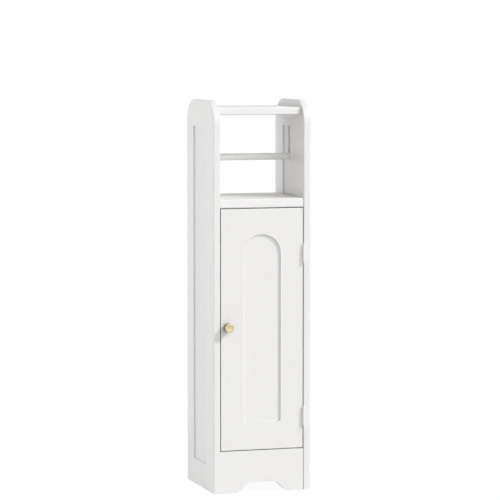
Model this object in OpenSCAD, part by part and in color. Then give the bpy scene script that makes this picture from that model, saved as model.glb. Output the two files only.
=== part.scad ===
// Narrow free-standing bathroom cabinet.  Two frame-and-panel sides carry a top
// shelf, an open bay with a drop-in rod, and a cupboard with a hinged door.
// Millimetres, +Z up.  The front looks towards -Y.  The origin lies on the
// ground, in the middle of the box that the cabinet and its knob fill.

/* [Cabinet] */
// Width over both sides
cabinet_w = 204; // [180:1:260]
// Depth of the sides, front edge to back edge
cabinet_d = 188; // [165:1:240]
// Height of the sides
cabinet_h = 780; // [700:1:900]
// Thickness of each side
side_t = 15; // [12.5:0.5:18]
// Radius of the rounded top corners of the sides
corner_r = 45; // [10:1:52]
// How far the bay floor, the door and the base rail stand back from the sides' front edges
front_setback = 1.5; // [0.5:0.5:5]
// Radius on all edges of the sides' outer faces
outer_edge_r = 4.5; // [1:0.5:6]
// Radius on all edges of the sides' inner faces
inner_edge_r = 1; // [0.5:0.5:2]

/* [Side frames] */
// Width of the upright stiles
stile_w = 49.5; // [48:0.5:60]
// Height of the top rails
top_rail_h = 53.5; // [40:0.5:65]
// Height of the bottom rails
bottom_rail_h = 53; // [40:0.5:65]
// Thickness of the inset panels
panel_t = 9; // [7:0.5:10]
// How far the tongues of panels and rails reach into their grooves
tongue_l = 7.5; // [5:0.5:8]
// Room left past the end of a tongue
tongue_end_room = 0.5; // [0.2:0.1:1]
// Gap on each face of a tongue
tongue_fit = 0.1; // [0.05:0.05:0.2]

/* [Top shelf and bay] */
// Thickness of the top shelf
shelf_t = 15; // [14:0.5:20]
// How far the top shelf lies below the top of the sides
shelf_drop = 14; // [8:1:20]
// How far the top shelf stands back from the sides' front and back edges
shelf_setback = 20; // [10:1:22]
// Clear height of the open bay
bay_h = 165; // [140:1:220]
// Thickness of the bay floor
bay_floor_t = 18; // [15:0.5:22]
// Radius on the front edges of the top shelf and the bay floor
board_edge_r = 2.5; // [1:0.5:5]
// Radius on the front corners of the boards' ends, where they meet the sides
end_edge_r = 1; // [0.5:0.5:1.5]

/* [Base] */
// Height of the base rail
base_rail_h = 84; // [75:1:110]
// Thickness of the base rail
base_rail_t = 15; // [14:0.5:18]
// Thickness of the bottom board
bottom_board_t = 15; // [14:0.5:18]
// Width of the cut-out in the base rail, at the ground
cutout_w = 114; // [90:1:120]
// Height of the cut-out
cutout_h = 21; // [16:1:30]
// Slope of the ends of the cut-out, degrees
cutout_slope = 40; // [30:1:50]
// Radius of the two bends at each end of the cut-out
cutout_r = 13.5; // [5:0.5:15]

/* [Back panel] */
// Thickness of the back panel
back_t = 3; // [2.5:0.5:5]
// How far the back panel lies in from the back edges
back_inset = 6; // [4:0.5:9]
// Depth of the grooves that hold the back panel
back_groove = 4.5; // [3:0.5:6]
// Height of the back panel's lower edge over the ground
back_bottom_z = 58; // [30:1:60]

/* [Door] */
// Thickness of the door
door_t = 15; // [14:0.5:18]
// Gap between the door and the opening, all round
door_gap = 1.5; // [1.4:0.1:2.5]
// Radius on the front edges of the door
door_edge_r = 1.5; // [1.5:0.5:2.5]
// Margin beside the arched recess
recess_side = 46.5; // [40:0.5:55]
// Margin over the arched recess
recess_top = 51; // [40:1:80]
// Margin under the arched recess
recess_bottom = 54; // [40:1:80]
// Depth of the arched recess
recess_depth = 4.5; // [3:0.5:6]
// Radius of the two bottom corners of the recess
recess_corner_r = 8; // [4:0.5:20]
// Radius between the floor of the recess and its wall
recess_fillet_r = 0.5; // [0.5:0.5:3]

/* [Hinges] */
// Length of each hinge
hinge_l = 38; // [34:1:45]
// Distance from the door's top to the middle of the upper hinge
hinge_drop = 91; // [60:1:110]
// Distance from the door's bottom to the middle of the lower hinge
hinge_rise = 64; // [50:1:100]
// Outer diameter of the hinge barrel
barrel_d = 5; // [4.8:0.1:6.5]
// Number of knuckles in a barrel
knuckles = 5; // [3:2:7]
// Diameter of the hinge pin
pin_d = 2.5; // [2.2:0.1:2.8]
// Clearance around the pin, on the radius
pin_fit = 0.05; // [0.02:0.01:0.08]
// Thickness of a hinge leaf
leaf_t = 1; // [0.8:0.1:1.1]
// Reach of a leaf back from the pin's axis
leaf_reach = 15; // [13:0.5:16]
// Clearance between pieces that move past each other
moving_gap = 0.3; // [0.3:0.05:0.4]

/* [Knob] */
// Diameter of the knob's head
knob_d = 18; // [16:1:21]
// Length of the knob's head
knob_head_l = 14; // [10:1:18]
// Diameter of the knob's foot
knob_foot_d = 11; // [10:0.5:13]
// Length of the knob's neck, foot included
knob_neck_l = 6; // [5:0.5:10]
// Distance of the knob's axis from the door's free edge
knob_inset = 12.5; // [11:0.5:22]
// Height of the knob's axis over the door's bottom edge
knob_rise = 247; // [200:1:260]
// Diameter of the knob's machine screw
knob_screw_d = 4; // [3:0.5:5]

/* [Rod] */
// Diameter of the rod
rod_d = 14; // [12:0.5:18]
// Distance of the rod's axis below the top shelf
rod_drop = 86.5; // [70:0.5:95]
// How far the rod's axis lies behind the middle of the sides
rod_back = 11.5; // [0:0.5:14]
// Depth of the slots that hold the rod's ends
slot_depth = 4.5; // [3:0.5:5]
// Room past each end of the rod
rod_end_room = 0.5; // [0.3:0.1:1]

/* [Inner shelf] */
// Thickness of the inner shelf
inner_shelf_t = 12; // [10:0.5:16]
// Height of the inner shelf's underside over the bottom board
inner_shelf_rise = 230; // [150:1:260]
// Room at each end of the inner shelf
inner_shelf_room = 1.5; // [1.5:0.1:3]
// Room between the door and the inner shelf
inner_shelf_front = 4; // [3:0.5:8]
// Spacing of the rows of shelf pin holes
pin_row_pitch = 32; // [20:1:40]
// Diameter of a shelf pin
shelf_pin_d = 5; // [4:0.5:6]

/* [Fittings] */
// Diameter of a cam disc
cam_d = 12; // [10:0.5:12]
// Height of a cam disc
cam_h = 11.5; // [11:0.5:12.5]
// Distance of a cam's axis from the end of its board
cam_inset = 24; // [20:1:26]
// Diameter of a cam bolt in the side
bolt_d = 5; // [4:0.5:6]
// Diameter of a board dowel
dowel_d = 6; // [5:0.5:6]
// Depth of the bolt and dowel holes in the sides
side_hole_l = 10; // [8:0.5:11]
// Reach of a dowel into its board
dowel_reach = 14; // [10:1:16]
// Diameter of a wood screw
screw_d = 2.6; // [2:0.1:3]
// Length of a wood screw
screw_l = 10; // [8:0.5:11]
// Clearance around screws, dowels and bolts, on the radius
hole_fit = 0.05; // [0.02:0.01:0.1]

/* [Catch] */
// Width of the magnetic catch over its ears
catch_w = 46; // [40:1:55]
// Depth of the catch, front to back
catch_d = 14; // [12:0.5:18]
// Height of the catch
catch_h = 12; // [10:0.5:14]
// Distance of the catch's middle from the left side
catch_inset = 42; // [32:1:60]
// Thickness of the strike plate
strike_t = 1.2; // [1:0.1:1.5]

/* [Hidden] */
$fn = 64;

// Finishes
white_paint = [0.94, 0.94, 0.93];
white_board = [0.90, 0.90, 0.89];
beech = [0.80, 0.66, 0.46];
pale_brass = [0.84, 0.75, 0.48];
bright_steel = [0.75, 0.76, 0.78];

// Cuts run this far past a face that they open
past = 1;

// Planes of the cabinet
half_w = cabinet_w / 2;
inner_x = half_w - side_t;
knob_reach = knob_neck_l + knob_head_l - front_setback;
front_y = -(cabinet_d - knob_reach) / 2;
back_y = front_y + cabinet_d;
face_y = front_y + front_setback;
door_back_y = face_y + door_t;
back_panel_y = back_y - back_inset - back_t;

// Heights
shelf_top_z = cabinet_h - shelf_drop;
shelf_z = shelf_top_z - shelf_t;
bay_floor_top_z = shelf_z - bay_h;
bay_floor_z = bay_floor_top_z - bay_floor_t;
bottom_board_z = base_rail_h - bottom_board_t;
door_z = base_rail_h + door_gap;
door_top_z = bay_floor_z - door_gap;

// Side frames
groove_l = tongue_l + tongue_end_room;
groove_t = panel_t + 2 * tongue_fit;
panel_inset = (side_t - panel_t) / 2;
groove_inset = panel_inset - tongue_fit;
panel_x = inner_x + panel_inset;
frame_top_z = cabinet_h - top_rail_h;

// Door
door_half = inner_x - door_gap;
recess_half = door_half - recess_side;
recess_corner_x = recess_half - recess_corner_r;
recess_corner_z = door_z + recess_bottom + recess_corner_r;
recess_spring_z = door_top_z - recess_top - recess_half;

// Hinges
barrel_r = barrel_d / 2;
pin_x = (inner_x + door_half) / 2;
pin_y = front_y - moving_gap - barrel_r;
knuckle_l = hinge_l / knuckles;
case_knuckles = [for (i = [0 : 2 : knuckles - 1]) i];
door_knuckles = [for (i = [1 : 2 : knuckles - 2]) i];
upper_hinge_z = door_top_z - hinge_drop;
lower_hinge_z = door_z + hinge_rise;
pin_head_h = 0.8;
pin_head_d = pin_d + 1.4;
hinge_screw_dy = 9.5;
hinge_screw_dz = hinge_l / 2 - 7.5;

// Knob
knob_x = -door_half + knob_inset;
knob_z = door_z + knob_rise;
knob_foot_h = 1.6;
knob_neck_d = knob_screw_d + 3.6;
knob_round = 1.2;
knob_bore_l = knob_neck_l + knob_head_l / 2;
knob_screw_head_d = 2 * knob_screw_d;
knob_screw_head_h = 2.4;

// Rod
rod_z = shelf_z - rod_drop;
rod_y = (front_y + back_y) / 2 + rod_back;
slot_r = rod_d / 2 + moving_gap;
rod_l = 2 * (panel_x + slot_depth - rod_end_room);
rod_chamfer = 1;

// Inner shelf and its pins
inner_shelf_z = base_rail_h + inner_shelf_rise;
inner_shelf_y = door_back_y + inner_shelf_front;
inner_shelf_back_y = back_panel_y - 1;
shelf_pin_depth = 8;
shelf_pin_reach = 9;
shelf_pin_collar_d = shelf_pin_d + 3;
shelf_pin_collar_h = inner_shelf_room - 0.3;
shelf_seat = 0.1;
shelf_pin_z = inner_shelf_z - shelf_seat - shelf_pin_d / 2;
shelf_pin_ys = [inner_shelf_y + 11, inner_shelf_back_y - 15];

// Screws
screw_head_d = 5;
screw_head_h = 1.3;
screw_slot_w = 0.7;
screw_slot_depth = 0.5;

// Fittings.  A bolt or dowel lies this far above the underside of its board.
fitting_up = 7.5;
dowel_edge = 6;
dowel_rear_edge = 14;
dowel_to_bolt = 10;
bolt_neck_d = bolt_d - 1;
bolt_head_d = 6.5;
bolt_head_l = 4;
bolt_bore_d = 7;
cam_pocket_d = 7.2;
cam_fit = 0.1;
cam_slot_w = 1.6;
cam_slot_l = 7;
cam_slot_depth = 1.5;
cam_room = 0.5;
dowel_chamfer = 0.8;

// Each board that is fastened to the sides:
// [underside z, front y, back y, distance of the rear dowels from the back]
fastened_boards = [
    [shelf_z, front_y + shelf_setback, back_y - shelf_setback, dowel_edge],
    [bay_floor_z, face_y, back_y, dowel_rear_edge],
    [bottom_board_z, face_y + base_rail_t, back_panel_y - tongue_fit, dowel_rear_edge]
];
// Dowel and bolt places along Y on such a board
function dowel_ys(b) = [b[1] + dowel_edge, b[2] - b[3]];
function bolt_ys(b) = [b[1] + dowel_edge + dowel_to_bolt, b[2] - b[3] - dowel_to_bolt];
// The base rail's bolt and dowel, one over the other at each end
rail_fitting_y = face_y + base_rail_t - fitting_up;
rail_bolt_z = base_rail_h - bottom_board_t - 10;
rail_dowel_z = rail_bolt_z - 22;

// Catch
catch_x = -inner_x + catch_inset;
catch_y = door_back_y + strike_t + moving_gap;
catch_body_w = catch_w - 18;
catch_ear_h = 2.6;
catch_screw_dx = catch_w / 2 - 4.5;
pole_t = 1.2;
pole_w = catch_body_w - 6;
pole_fit = 0.05;
strike_w = catch_body_w + 6;
strike_h = catch_h - 1;
strike_drop = 1;

// ---------------------------------------------------------------- helpers

// Draws its children on the right, and mirrored on the left
module both_sides() {
    children();
    mirror([1, 0, 0]) children();
}

// Turns an outline drawn as (depth, height) into a slab that is t wide along X
module slab_x(t) {
    rotate([90, 0, 90]) linear_extrude(t) children();
}

// Section of what is taken off to round an edge, as (distance in from one face, from the other)
module edge_waste(r) {
    difference() {
        translate([-past, -past]) square(r + past);
        translate([r, r]) circle(r);
    }
}

// A rod of diameter d from the side's inner face, out into the side and in into the board
module across(d, out, into) {
    translate([-into, 0, 0]) rotate([0, 90, 0]) cylinder(h = out + into, d = d);
}

// Countersunk wood screw, its face at the origin, pointing along +Z
module wood_screw() {
    difference() {
        screw_form(0);
        for (a = [0, 90])
            rotate([0, 0, a])
                translate([-screw_d / 2, -screw_slot_w / 2, -past])
                    cube([screw_d, screw_slot_w, past + screw_slot_depth]);
    }
}

// The screw's form, grown by a clearance to cut its hole
module screw_form(grow) {
    cylinder(h = screw_head_h + grow, r1 = screw_head_d / 2 + grow, r2 = screw_d / 2 + grow);
    cylinder(h = screw_l + grow, d = screw_d + 2 * grow);
}

// ---------------------------------------------------------------- side frames

// Outline of a side, its front bottom corner at the origin
module side_outline() {
    square([cabinet_d, cabinet_h - corner_r]);
    translate([corner_r, 0]) square([cabinet_d - 2 * corner_r, cabinet_h]);
    for (y = [corner_r, cabinet_d - corner_r])
        translate([y, cabinet_h - corner_r]) circle(corner_r);
}

// What is taken off all round a face at x = 0, the side being on its +X side
module round_waste(r) {
    for (rear = [0, 1])
        translate([0, rear * cabinet_d, 0]) mirror([0, rear, 0]) {
            translate([0, 0, -past]) linear_extrude(cabinet_h - corner_r + past) edge_waste(r);
            translate([0, corner_r, cabinet_h - corner_r]) mirror([0, 1, 0]) rotate([90, 0, 90])
                rotate_extrude(angle = 90) translate([corner_r, 0]) mirror([1, 0]) edge_waste(r);
        }
    translate([0, cabinet_d - corner_r, cabinet_h]) rotate([90, 0, 0])
        linear_extrude(cabinet_d - 2 * corner_r) mirror([0, 1]) edge_waste(r);
    translate([0, cabinet_d + past, 0]) rotate([90, 0, 0])
        linear_extrude(cabinet_d + 2 * past) edge_waste(r);
}

// The right-hand side as if it were one board, all its edges rounded
module side_board() {
    translate([inner_x, front_y, 0]) difference() {
        slab_x(side_t) side_outline();
        round_waste(inner_edge_r);
        translate([side_t, 0, 0]) mirror([1, 0, 0]) round_waste(outer_edge_r);
    }
}

// Holes that a right-hand stile needs between two depths
module stile_holes(y0, y1) {
    for (b = fastened_boards) {
        for (y = dowel_ys(b))
            if (y > y0 && y < y1)
                translate([inner_x, y, b[0] + fitting_up])
                    across(dowel_d + 2 * hole_fit, side_hole_l + hole_fit, past);
        for (y = bolt_ys(b))
            if (y > y0 && y < y1)
                translate([inner_x, y, b[0] + fitting_up])
                    across(bolt_d + 2 * hole_fit, side_hole_l + hole_fit, past);
    }
    for (y = shelf_pin_ys)
        for (row = [-1 : 1])
            if (y > y0 && y < y1)
                translate([inner_x, y, shelf_pin_z + row * pin_row_pitch])
                    across(shelf_pin_d + 2 * hole_fit, shelf_pin_depth + hole_fit, past);
}

// Front stile of the right-hand side, without its hinge holes
module front_stile() {
    difference() {
        intersection() {
            side_board();
            translate([inner_x - past, front_y - past, -past])
                cube([side_t + 2 * past, stile_w + past, cabinet_h + 2 * past]);
        }
        translate([inner_x + groove_inset, front_y + stile_w - groove_l, -past])
            cube([groove_t, groove_l + past, cabinet_h + 2 * past]);
        stile_holes(front_y, front_y + stile_w);
        translate([inner_x, rail_fitting_y, rail_bolt_z])
            across(bolt_d + 2 * hole_fit, side_hole_l + hole_fit, past);
        translate([inner_x, rail_fitting_y, rail_dowel_z])
            across(dowel_d + 2 * hole_fit, side_hole_l + hole_fit, past);
    }
}

// Rear stile of the right-hand side, with the stopped groove for the back panel
module rear_stile() {
    difference() {
        intersection() {
            side_board();
            translate([inner_x - past, back_y - stile_w, -past])
                cube([side_t + 2 * past, stile_w + past, cabinet_h + 2 * past]);
        }
        translate([inner_x + groove_inset, back_y - stile_w - past, -past])
            cube([groove_t, groove_l + past, cabinet_h + 2 * past]);
        stile_holes(back_y - stile_w, back_y);
        translate([inner_x - past, back_panel_y - tongue_fit, back_bottom_z])
            cube([
                back_groove + tongue_end_room + past,
                back_t + 2 * tongue_fit,
                bay_floor_z + back_groove + tongue_end_room - back_bottom_z
            ]);
    }
}

// A rail between two heights, with tongues into both stiles and a groove at groove_z
module rail(z0, z1, groove_z) {
    difference() {
        intersection() {
            side_board();
            union() {
                translate([inner_x - past, front_y + stile_w, z0])
                    cube([side_t + 2 * past, cabinet_d - 2 * stile_w, z1 - z0]);
                translate([panel_x, front_y + stile_w - tongue_l, z0])
                    cube([panel_t, cabinet_d - 2 * stile_w + 2 * tongue_l, z1 - z0]);
            }
        }
        translate([inner_x + groove_inset, front_y, groove_z])
            cube([groove_t, cabinet_d, groove_l + past]);
    }
}

module top_rail() {
    rail(frame_top_z, cabinet_h, frame_top_z - past);
}

module bottom_rail() {
    rail(0, bottom_rail_h, bottom_rail_h - groove_l);
}

// Inset panel of the right-hand side, with the slot that one end of the rod drops into
module panel() {
    difference() {
        translate([
            panel_x,
            front_y + stile_w - tongue_l,
            bottom_rail_h - tongue_l
        ])
            cube([
                panel_t,
                cabinet_d - 2 * stile_w + 2 * tongue_l,
                frame_top_z - bottom_rail_h + 2 * tongue_l
            ]);
        translate([panel_x, rod_y, rod_z]) rotate([0, 90, 0])
            translate([0, 0, -past]) cylinder(h = slot_depth + past, r = slot_r);
        translate([panel_x - past, rod_y - slot_r, rod_z])
            cube([slot_depth + past, 2 * slot_r, frame_top_z - rod_z]);
    }
}

module left_front_stile() {
    color(white_paint) mirror([1, 0, 0]) front_stile();
}

module left_rear_stile() {
    color(white_paint) mirror([1, 0, 0]) rear_stile();
}

module left_top_rail() {
    color(white_paint) mirror([1, 0, 0]) top_rail();
}

module left_bottom_rail() {
    color(white_paint) mirror([1, 0, 0]) bottom_rail();
}

module left_panel() {
    color(white_board) mirror([1, 0, 0]) panel();
}

module right_front_stile() {
    color(white_paint) difference() {
        front_stile();
        case_screw_places() screw_form(hole_fit);
    }
}

module right_rear_stile() {
    color(white_paint) rear_stile();
}

module right_top_rail() {
    color(white_paint) top_rail();
}

module right_bottom_rail() {
    color(white_paint) bottom_rail();
}

module right_panel() {
    color(white_board) panel();
}

// ---------------------------------------------------------------- boards

// Outline of a board as (depth, height), with round front edges
module board_outline(d, t) {
    translate([board_edge_r, 0]) square([d - board_edge_r, t]);
    translate([0, board_edge_r]) square([d, t - 2 * board_edge_r]);
    for (z = [board_edge_r, t - board_edge_r])
        translate([board_edge_r, z]) circle(board_edge_r);
}

// What is taken off the front corners of the ends of a board that is t high
module end_edges(y, z, t) {
    both_sides()
        translate([-inner_x, y, z - past])
            linear_extrude(t + 2 * past) edge_waste(end_edge_r);
}

// Bores for the cams, bolts and dowels of one fastened board
module board_bores(b) {
    both_sides() {
        for (y = bolt_ys(b)) {
            translate([inner_x, y, b[0] + fitting_up]) across(bolt_bore_d, past, cam_inset);
            translate([inner_x - cam_inset, y, b[0] - past])
                cylinder(h = cam_h + cam_room + past, d = cam_d + 2 * cam_fit);
        }
        for (y = dowel_ys(b))
            translate([inner_x, y, b[0] + fitting_up])
                across(dowel_d + 2 * hole_fit, past, dowel_reach + hole_fit);
    }
}

module top_shelf() {
    b = fastened_boards[0];
    color(white_paint) difference() {
        translate([-inner_x, b[1], b[0]])
            slab_x(2 * inner_x) board_outline(b[2] - b[1], shelf_t);
        end_edges(b[1], b[0], shelf_t);
        board_bores(b);
    }
}

// Floor of the open bay, grooved underneath for the back panel
module bay_floor() {
    b = fastened_boards[1];
    color(white_paint) difference() {
        translate([-inner_x, b[1], b[0]])
            slab_x(2 * inner_x) board_outline(b[2] - b[1], bay_floor_t);
        end_edges(b[1], b[0], bay_floor_t);
        board_bores(b);
        translate([-inner_x - past, back_panel_y - tongue_fit, b[0] - past])
            cube([
                2 * (inner_x + past),
                back_t + 2 * tongue_fit,
                back_groove + tongue_end_room + past
            ]);
        catch_screw_places() screw_form(hole_fit);
    }
}

module bottom_board() {
    b = fastened_boards[2];
    color(white_paint) difference() {
        translate([-inner_x, b[1], b[0]])
            cube([2 * inner_x, b[2] - b[1], bottom_board_t]);
        board_bores(b);
    }
}

// Half of the cut-out's outline: a flat top, a slope, and a bend at each end of the slope
module cutout_half() {
    bend = cutout_r * tan(cutout_slope / 2);
    foot_x = cutout_w / 2 - bend;
    head_x = foot_x - cutout_h / tan(cutout_slope);
    along = bend * cos(cutout_slope);
    up = bend * sin(cutout_slope);
    difference() {
        union() {
            polygon([[0, -past], [foot_x, -past], [foot_x, 0], [head_x, cutout_h], [0, cutout_h]]);
            difference() {
                polygon([
                    [foot_x - past, -past], [foot_x + bend, -past], [foot_x + bend, cutout_r],
                    [foot_x - along, up]
                ]);
                translate([foot_x + bend, cutout_r]) circle(cutout_r);
            }
        }
        difference() {
            polygon([
                [head_x, cutout_h + past], [head_x - bend, cutout_h + past],
                [head_x - bend, cutout_h - cutout_r], [head_x + along, cutout_h - up]
            ]);
            translate([head_x - bend, cutout_h - cutout_r]) circle(cutout_r);
        }
    }
}

// Front rail under the door, cut out into two feet
module base_rail() {
    color(white_paint) difference() {
        translate([0, face_y + base_rail_t, 0]) rotate([90, 0, 0])
            linear_extrude(base_rail_t) difference() {
                translate([-inner_x, 0]) square([2 * inner_x, base_rail_h]);
                cutout_half();
                mirror([1, 0]) cutout_half();
            }
        end_edges(face_y, 0, base_rail_h);
        both_sides() {
            translate([inner_x, rail_fitting_y, rail_bolt_z]) across(bolt_bore_d, past, cam_inset);
            translate([inner_x - cam_inset, face_y + base_rail_t + past, rail_bolt_z])
                rotate([90, 0, 0]) cylinder(h = cam_h + cam_room + past, d = cam_d + 2 * cam_fit);
            translate([inner_x, rail_fitting_y, rail_dowel_z])
                across(dowel_d + 2 * hole_fit, past, dowel_reach + hole_fit);
        }
    }
}

// Thin panel held by the grooves in the rear stiles and in the bay floor
module back_panel() {
    color(white_board)
        translate([-inner_x - back_groove, back_panel_y, back_bottom_z])
            cube([
                2 * (inner_x + back_groove),
                back_t,
                bay_floor_z + back_groove - back_bottom_z
            ]);
}

// ---------------------------------------------------------------- inner shelf

module inner_shelf() {
    half = inner_x - inner_shelf_room;
    color(white_board)
        translate([-half, inner_shelf_y, inner_shelf_z])
            cube([2 * half, inner_shelf_back_y - inner_shelf_y, inner_shelf_t]);
}

module shelf_pins() {
    color(bright_steel) both_sides()
        for (y = shelf_pin_ys)
            translate([inner_x, y, shelf_pin_z]) {
                across(shelf_pin_d, shelf_pin_depth, shelf_pin_reach);
                across(shelf_pin_collar_d, 0, shelf_pin_collar_h);
            }
}

// ---------------------------------------------------------------- board fittings

// Cam disc with its face at the origin, its pocket opening towards +X
module cam_disc() {
    difference() {
        cylinder(h = cam_h, d = cam_d);
        translate([-bolt_head_d / 2 - cam_fit, 0, fitting_up]) rotate([0, 90, 0])
            cylinder(h = cam_d, d = cam_pocket_d);
        for (a = [0, 90])
            rotate([0, 0, a])
                translate([-cam_slot_l / 2, -cam_slot_w / 2, -past])
                    cube([cam_slot_l, cam_slot_w, past + cam_slot_depth]);
    }
}

// Cam bolt at the side's inner face, its head reaching into the cam
module cam_bolt() {
    across(bolt_d, side_hole_l, 0);
    across(bolt_neck_d, 0, cam_inset);
    translate([-cam_inset + bolt_head_l / 2, 0, 0]) across(bolt_head_d, 0, bolt_head_l);
}

// Dowel with bevelled ends, half in the side and half in the board
module dowel() {
    rotate([0, 90, 0]) {
        translate([0, 0, -dowel_reach + dowel_chamfer])
            cylinder(h = dowel_reach + side_hole_l - 2 * dowel_chamfer, d = dowel_d);
        for (z = [-dowel_reach, side_hole_l - dowel_chamfer])
            translate([0, 0, z])
                cylinder(
                    h = dowel_chamfer,
                    d1 = z < 0 ? dowel_d - 2 * dowel_chamfer : dowel_d,
                    d2 = z < 0 ? dowel_d : dowel_d - 2 * dowel_chamfer
                );
    }
}

module cam_discs() {
    color(bright_steel) both_sides() {
        for (b = fastened_boards)
            for (y = bolt_ys(b))
                translate([inner_x - cam_inset, y, b[0]]) cam_disc();
        translate([inner_x - cam_inset, face_y + base_rail_t, rail_bolt_z])
            rotate([90, 0, 0]) cam_disc();
    }
}

module cam_bolts() {
    color(bright_steel) both_sides() {
        for (b = fastened_boards)
            for (y = bolt_ys(b))
                translate([inner_x, y, b[0] + fitting_up]) cam_bolt();
        translate([inner_x, rail_fitting_y, rail_bolt_z]) cam_bolt();
    }
}

module board_dowels() {
    color(beech) both_sides() {
        for (b = fastened_boards)
            for (y = dowel_ys(b))
                translate([inner_x, y, b[0] + fitting_up]) dowel();
        translate([inner_x, rail_fitting_y, rail_dowel_z]) dowel();
    }
}

// ---------------------------------------------------------------- door

// Section of the recess out to its wall, as (distance, height over the face)
module recess_section(reach) {
    flat = reach - recess_fillet_r;
    translate([0, -recess_depth]) square([flat, recess_depth + past]);
    translate([0, recess_fillet_r - recess_depth])
        square([reach, recess_depth - recess_fillet_r + past]);
    intersection() {
        translate([flat, recess_fillet_r - recess_depth]) circle(recess_fillet_r);
        translate([flat, -recess_depth]) square(recess_fillet_r);
    }
}

// The arched recess: a flat floor and an upright wall, cut back from the door's face
module recess() {
    translate([0, face_y, recess_spring_z]) rotate([90, 0, 0])
        rotate_extrude(angle = 180) recess_section(recess_half);
    for (side = [0, 1])
        mirror([side, 0, 0]) {
            translate([0, face_y, recess_corner_z])
                linear_extrude(recess_spring_z - recess_corner_z)
                    mirror([0, 1]) recess_section(recess_half);
            translate([recess_corner_x, face_y, recess_corner_z]) rotate([90, 0, 0])
                rotate([0, 0, -90]) rotate_extrude(angle = 90) recess_section(recess_corner_r);
        }
    translate([-recess_corner_x, face_y, recess_corner_z]) rotate([0, 90, 0])
        linear_extrude(2 * recess_corner_x) mirror([0, 1]) recess_section(recess_corner_r);
}

// What is taken off round the door's face
module door_edges() {
    both_sides()
        translate([-door_half, face_y, door_z - past])
            linear_extrude(door_top_z - door_z + 2 * past) edge_waste(door_edge_r);
    for (top = [0, 1])
        translate([-door_half - past, face_y, top == 1 ? door_top_z : door_z])
            mirror([0, 0, top]) rotate([90, 0, 90])
                linear_extrude(2 * (door_half + past)) edge_waste(door_edge_r);
}

module door_slab() {
    color(white_paint) difference() {
        translate([-door_half, face_y, door_z])
            cube([2 * door_half, door_t, door_top_z - door_z]);
        door_edges();
        recess();
        for (z = [upper_hinge_z, lower_hinge_z])
            translate([door_half - leaf_t, face_y - past, z - hinge_l / 2 - tongue_fit])
                cube([
                    leaf_t + past,
                    pin_y + leaf_reach + tongue_fit - face_y + past,
                    hinge_l + 2 * tongue_fit
                ]);
        door_leaf_screw_places() screw_form(hole_fit);
        translate([knob_x, door_back_y + past, knob_z]) rotate([90, 0, 0])
            cylinder(h = door_t + 2 * past, d = knob_screw_d + 2 * hole_fit);
        strike_screw_place() screw_form(hole_fit);
    }
}

// Half section of the knob, as (radius, height over the door)
module knob_section() {
    square([knob_foot_d / 2, knob_foot_h]);
    difference() {
        square([knob_foot_d / 2, knob_neck_l]);
        translate([knob_foot_d / 2, (knob_foot_h + knob_neck_l) / 2])
            circle(min(knob_neck_l - knob_foot_h, knob_foot_d - knob_neck_d) / 2);
    }
    translate([0, knob_neck_l]) {
        square([knob_d / 2 - knob_round, knob_head_l]);
        translate([0, knob_round]) square([knob_d / 2, knob_head_l - 2 * knob_round]);
        for (h = [knob_round, knob_head_l - knob_round])
            translate([knob_d / 2 - knob_round, h]) circle(knob_round);
    }
}

module knob() {
    color(pale_brass)
        translate([knob_x, face_y, knob_z]) rotate([90, 0, 0]) difference() {
            rotate_extrude() knob_section();
            translate([0, 0, -past])
                cylinder(h = knob_bore_l + past, d = knob_screw_d + 2 * hole_fit);
        }
}

module knob_screw() {
    color(bright_steel)
        translate([knob_x, door_back_y, knob_z]) {
            rotate([90, 0, 0]) cylinder(h = door_t + knob_bore_l - past, d = knob_screw_d);
            difference() {
                rotate([-90, 0, 0]) cylinder(h = knob_screw_head_h, d = knob_screw_head_d);
                for (a = [0, 90])
                    rotate([0, a, 0])
                        translate([
                            -knob_screw_d / 2,
                            knob_screw_head_h - screw_slot_w,
                            -screw_slot_w / 2
                        ])
                            cube([knob_screw_d, screw_slot_w + past, screw_slot_w]);
            }
        }
}

// ---------------------------------------------------------------- hinges

// Room or material of one knuckle, about the pin's axis
module knuckle(i, r, grow) {
    translate([0, 0, -hinge_l / 2 + i * knuckle_l - grow])
        cylinder(h = knuckle_l + 2 * grow, r = r);
}

// One leaf about the pin's axis: a plate at plate_x, its own knuckles, and room for the others
module hinge_leaf(plate_x, own, others) {
    difference() {
        union() {
            translate([plate_x, 0, -hinge_l / 2]) cube([leaf_t, leaf_reach, hinge_l]);
            for (i = own) knuckle(i, barrel_r, 0);
        }
        for (i = others) knuckle(i, barrel_r + moving_gap, moving_gap / 2);
        for (i = own) {
            end_room = [i > 0 ? moving_gap / 2 : 0, i < knuckles - 1 ? moving_gap / 2 : 0];
            knuckle_ends(i, end_room);
        }
        translate([0, 0, -hinge_l / 2 - past])
            cylinder(h = hinge_l + 2 * past, d = pin_d + 2 * pin_fit);
    }
}

// Trims a knuckle's ends where it meets a neighbour
module knuckle_ends(i, end_room) {
    z0 = -hinge_l / 2 + i * knuckle_l;
    if (end_room[0] > 0)
        translate([0, 0, z0 - end_room[0]])
            cylinder(h = 2 * end_room[0], r = barrel_r + moving_gap);
    if (end_room[1] > 0)
        translate([0, 0, z0 + knuckle_l - end_room[1]])
            cylinder(h = 2 * end_room[1], r = barrel_r + moving_gap);
}

// Screw places of one leaf, in the leaf's own frame, pointing along +X
module leaf_screw_places(x) {
    for (dz = [-hinge_screw_dz, hinge_screw_dz])
        translate([x, hinge_screw_dy, dz]) rotate([0, 90, 0]) children();
}

module case_leaf(z) {
    plate_x = inner_x - leaf_t - pin_x;
    color(white_paint) translate([pin_x, pin_y, z]) difference() {
        hinge_leaf(plate_x, case_knuckles, door_knuckles);
        leaf_screw_places(plate_x) screw_form(hole_fit);
    }
}

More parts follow.
